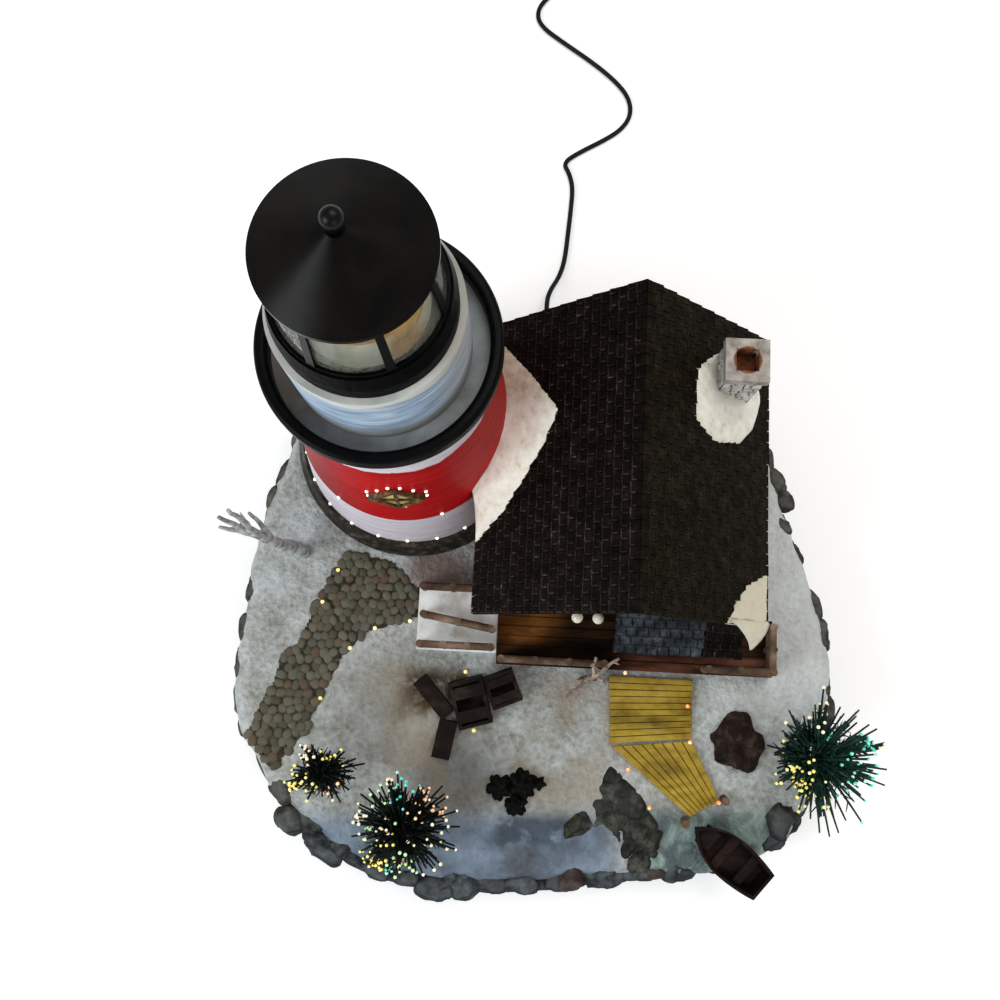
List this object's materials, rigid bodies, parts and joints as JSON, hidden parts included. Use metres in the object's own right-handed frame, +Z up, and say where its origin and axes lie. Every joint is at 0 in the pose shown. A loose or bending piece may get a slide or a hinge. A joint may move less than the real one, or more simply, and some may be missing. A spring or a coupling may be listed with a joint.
{
  "type": "fibre optic lighthouse decoration",
  "caption": "Lit table decoration: a banded lighthouse and a keeper's house with a porch on a snowy rock island, with fibre optic trees, a turning colour wheel and beacon, and a mains cord.",
  "frame": {"origin": "on the table, under the middle of the island's base, between its rubber feet", "axes": "+Z up the tower, +Y towards the back where the cord leaves, -Y towards the boat and boardwalk"},
  "size_m": [0.2997, 0.5665, 0.2955],
  "materials": {
    "cast_rock": "cast resin painted as snow and rock",
    "black_plastic": "moulded",
    "zinc_steel": "zinc plated",
    "foot_rubber": "moulded",
    "switch_plastic": "moulded",
    "lamp_holder": "fired",
    "lamp_glass": "clear",
    "motor_can": "pressed can",
    "colour_film": "clear coloured segments",
    "ferrule_metal": "turned",
    "fibre": "clear strands",
    "wire_jacket": "extruded",
    "tower_paint": "cast resin with painted white and red bands",
    "black_paint": "cast resin painted black",
    "amber_pane": "painted amber",
    "lantern_glass": "clear",
    "white_plastic": "moulded",
    "mirror_film": "metallised gold",
    "house_paint": "cast resin painted as logs",
    "window_paint": "painted amber",
    "shingle": "cast resin painted as shingles",
    "brick": "cast resin painted as grey stone",
    "snow": "painted with glitter",
    "timber": "cast resin painted as timber",
    "globe": "painted white",
    "cobble": "cast resin painted as cobbles",
    "leaf": "cast resin painted as leaves",
    "twig": "cast resin painted as frosted bark",
    "needle": "strands with lit tips",
    "cord_jacket": "extruded",
    "blade_metal": "nickel plated"
  },
  "bodies": {
    "base": {"base_shell": "cast_rock", "beacon_dome": "white_plastic", "beacon_lamp": "lamp_glass", "beacon_motor": "motor_can", "boardwalk": "timber", "boardwalk_posts": "timber", "boat": "timber", "bottom_cover": "black_plastic", "cargo": "timber", "chimney": "brick", "cord": "cord_jacket", "cord_coil": "cord_jacket", "cord_tie": "black_plastic", "cover_screws": "zinc_steel", "fibre_ferrule": "ferrule_metal", "fibre_tree_centre": "needle", "fibre_tree_left": "needle", "fibre_tree_right": "needle", "finial": "black_paint", "gallery_deck": "black_paint", "gallery_rail": "black_paint", "gear_motor": "motor_can", "house_roof": "shingle", "house_walls": "house_paint", "house_windows": "window_paint", "inner_wires": "wire_jacket", "lamp_bulb": "lamp_glass", "lamp_socket": "lamp_holder", "lantern_frame": "black_paint", "lantern_glass": "lantern_glass", "lantern_ring": "black_paint", "lantern_roof": "black_paint", "leaf_shrub": "leaf", "plug_adapter": "black_plastic", "plug_blades": "blade_metal", "porch_deck": "timber", "porch_lamps": "globe", "porch_rails": "timber", "porch_roof": "shingle", "rocks": "cast_rock", "roof_snow": "snow", "rubber_feet": "foot_rubber", "stone_path": "cobble", "strain_relief": "black_plastic", "switch_body": "switch_plastic", "tower_body": "tower_paint", "tower_drift": "snow", "tower_fibres": "fibre", "tower_plinth": "black_paint", "tree_fibres": "fibre", "twig_shrub": "twig", "twig_tree": "twig", "upper_drum": "tower_paint", "window_frame": "black_paint", "window_pane": "amber_pane"},
    "colour_wheel": {"colour_wheel": "colour_film", "wheel_shaft": "zinc_steel"},
    "beacon": {"beacon_reflector": "mirror_film"},
    "rocker": {"switch_rocker": "switch_plastic"},
    "hatch": {"bulb_hatch": "black_plastic"}
  },
  "joints": [
    {"name": "colour_wheel_turn", "type": "hinge", "parent": "base", "child": "colour_wheel", "pos_m": [-0.018, 0.075, 0.0255], "axis": [0, 0, 1], "continuous": true},
    {"name": "beacon_turn", "type": "hinge", "parent": "base", "child": "beacon", "pos_m": [-0.0565, 0.0753, 0.2505], "axis": [0, 0, 1], "continuous": true},
    {"name": "switch_rock", "type": "hinge", "parent": "base", "child": "rocker", "pos_m": [0.045, 0.1347, 0.015], "axis": [-1, 0, 0], "range_deg": [0, 20]},
    {"name": "hatch_slide", "type": "slide", "parent": "base", "child": "hatch", "axis": [1, 0, 0], "range_m": [0, 0.032]}
  ]
}
